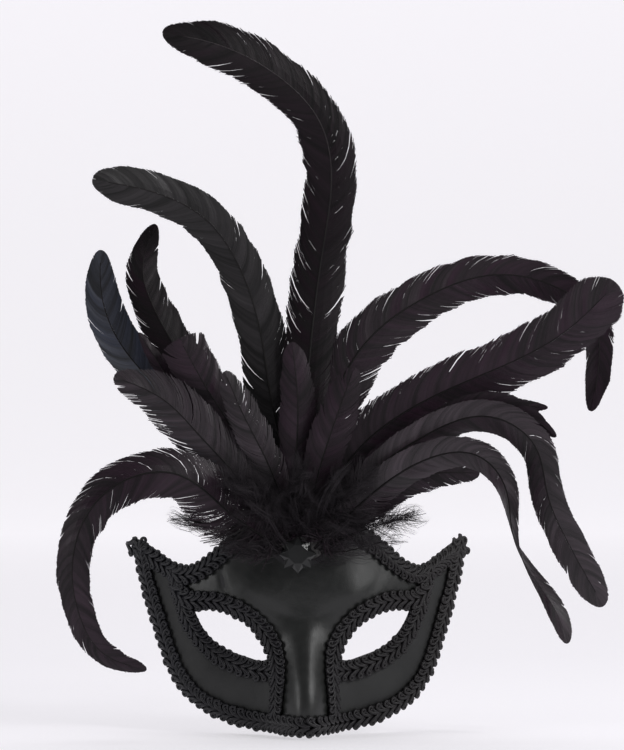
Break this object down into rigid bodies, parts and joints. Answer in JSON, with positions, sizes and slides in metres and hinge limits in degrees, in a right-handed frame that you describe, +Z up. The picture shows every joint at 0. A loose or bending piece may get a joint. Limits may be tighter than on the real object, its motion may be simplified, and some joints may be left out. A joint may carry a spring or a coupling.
{
  "type": "venetian masquerade mask",
  "caption": "Venetian half mask with scalloped gimp trim round the edge, eyes and nose, a faceted star stone on the brow and a fan of curled black feathers.",
  "frame": {"origin": "the bridge of the nose, on the back of the lining where the mask rests on the wearer, on the mask's plane of symmetry", "axes": "+Z up, the front of the mask faces -Y, +X to the right seen from the front"},
  "size_m": [0.2938, 0.1019, 0.369],
  "materials": {
    "moulded_shell": "matt black moulded shell, seen only at its cut edges",
    "felt": "black needle felt",
    "glue": "dark hot-melt glue",
    "faceted_gem": "polished black faceted acrylic",
    "eyelet_metal": "black lacquered eyelet",
    "glossy_leatherette": "semi-gloss green-black leatherette with a fine grain",
    "matt_leatherette": "matt charcoal leatherette",
    "gimp_trim": "black rayon gimp, satin cords in a chevron with a looped edge",
    "feather": "black cock feather with a brown-violet cast",
    "green_black_feather": "black cock feather with a green sheen",
    "blue_black_feather": "black cock feather with a blue sheen",
    "downy_feather": "black down"
  },
  "bodies": {
    "root": {"mask_shell": "moulded_shell", "felt_lining": "felt", "plume_pad": "felt", "quill_glue": "glue", "star_gem": "faceted_gem", "right_eyelet": "eyelet_metal", "left_eyelet": "eyelet_metal", "forehead_nose_cover": "glossy_leatherette", "right_cheek_cover": "matt_leatherette", "left_cheek_cover": "matt_leatherette", "bottom_edge_trim": "gimp_trim", "top_edge_trim": "gimp_trim", "right_brow_trim": "gimp_trim", "left_brow_trim": "gimp_trim", "right_cheek_trim": "gimp_trim", "left_cheek_trim": "gimp_trim", "tall_plume": "feather", "broad_left_plume": "green_black_feather", "left_blade_feather": "feather", "left_square_feather": "feather", "blue_sheen_feather": "blue_black_feather", "ragged_left_feather": "feather", "left_spike_feather": "feather", "left_droop_feather": "feather", "right_arch_feather": "feather", "right_long_feather": "feather", "right_outer_droop": "feather", "right_inner_droop": "feather", "right_spike_upper": "feather", "right_spike_lower": "feather", "right_under_feather": "feather", "right_mid_feather": "feather", "centre_left_filler": "feather", "centre_filler": "feather", "centre_right_filler": "feather", "back_centre_feather": "feather", "fluff_left_low": "downy_feather", "fluff_right_low": "downy_feather", "fluff_right_hang": "downy_feather", "fluff_left_hang": "downy_feather", "fluff_left_top": "downy_feather", "fluff_right_top": "downy_feather", "fluff_centre_top": "downy_feather"}
  },
  "joints": []
}
